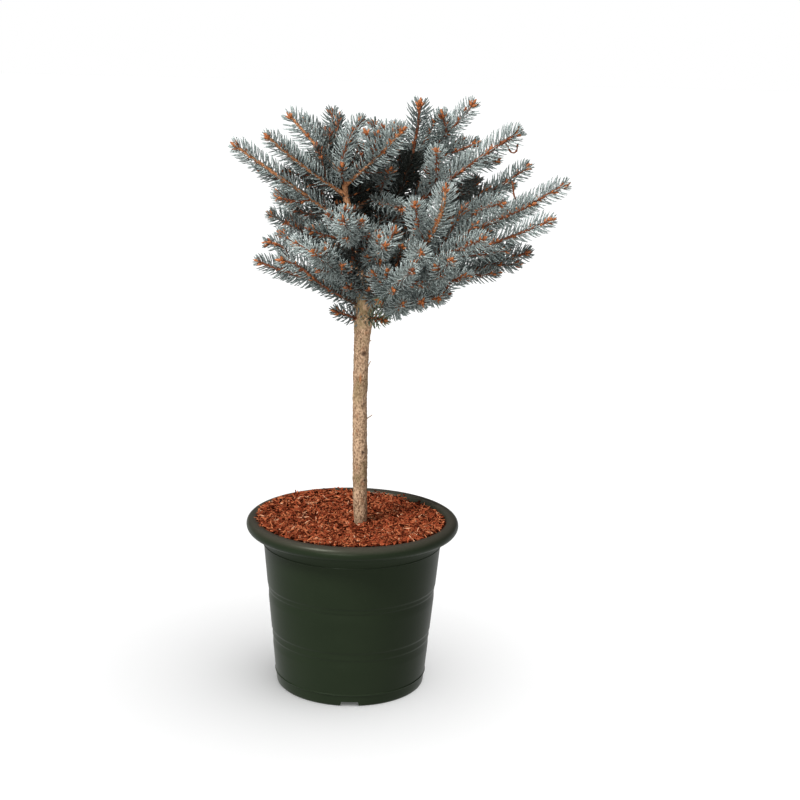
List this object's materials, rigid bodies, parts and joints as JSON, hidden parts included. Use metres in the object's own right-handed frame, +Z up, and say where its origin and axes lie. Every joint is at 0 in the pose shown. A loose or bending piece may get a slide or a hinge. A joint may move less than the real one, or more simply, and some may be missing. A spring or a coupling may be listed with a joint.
{
  "type": "potted blue spruce",
  "caption": "Young blue spruce grafted on a short straight stem, with an open round crown of needled shoots, in a round moulded nursery pot topped with bark mulch.",
  "frame": {"origin": "centre of the flat underside of the pot, which is the mount base", "axes": "+Z up along the pot's axis, -Y towards the front of the plant, +X to its right as seen from the front"},
  "size_m": [0.4769, 0.3647, 0.8368],
  "materials": {
    "pot_plastic": "dark green, satin",
    "bark_mulch": "red-brown bark chips, matte",
    "bark": "grey-brown scaly bark, matte",
    "twig_bark": "orange-brown young bark, matte",
    "needles": "blue-grey waxy needles, matte"
  },
  "bodies": {
    "root": {"pot": "pot_plastic", "mulch": "bark_mulch", "trunk": "bark", "bough_left_top": "twig_bark", "bough_left_upper": "twig_bark", "bough_left_crest": "twig_bark", "bough_back_left_crest": "twig_bark", "bough_front_crest": "twig_bark", "bough_right_crest": "twig_bark", "bough_back_right_crest": "twig_bark", "bough_right_top": "twig_bark", "bough_right_upper": "twig_bark", "bough_right_middle": "twig_bark", "bough_right_front": "twig_bark", "bough_right_low": "twig_bark", "bough_front_right_top": "twig_bark", "bough_front_right": "twig_bark", "bough_low_right": "twig_bark", "bough_low_front": "twig_bark", "bough_front_middle": "twig_bark", "bough_front_left_top": "twig_bark", "bough_front_left": "twig_bark", "bough_low_left": "twig_bark", "bough_left_low": "twig_bark", "bough_left_middle": "twig_bark", "bough_back_left": "twig_bark", "bough_back": "twig_bark", "bough_back_low": "twig_bark", "bough_back_right": "twig_bark", "bough_back_right_low": "twig_bark", "foliage_tip": "needles", "foliage_left_top": "needles", "foliage_left_upper": "needles", "foliage_left_crest": "needles", "foliage_back_left_crest": "needles", "foliage_front_crest": "needles", "foliage_right_crest": "needles", "foliage_back_right_crest": "needles", "foliage_right_top": "needles", "foliage_right_upper": "needles", "foliage_right_middle": "needles", "foliage_right_front": "needles", "foliage_right_low": "needles", "foliage_front_right_top": "needles", "foliage_front_right": "needles", "foliage_low_right": "needles", "foliage_low_front": "needles", "foliage_front_middle": "needles", "foliage_front_left_top": "needles", "foliage_front_left": "needles", "foliage_low_left": "needles", "foliage_left_low": "needles", "foliage_left_middle": "needles", "foliage_back_left": "needles", "foliage_back": "needles", "foliage_back_low": "needles", "foliage_back_right": "needles", "foliage_back_right_low": "needles"}
  },
  "joints": []
}
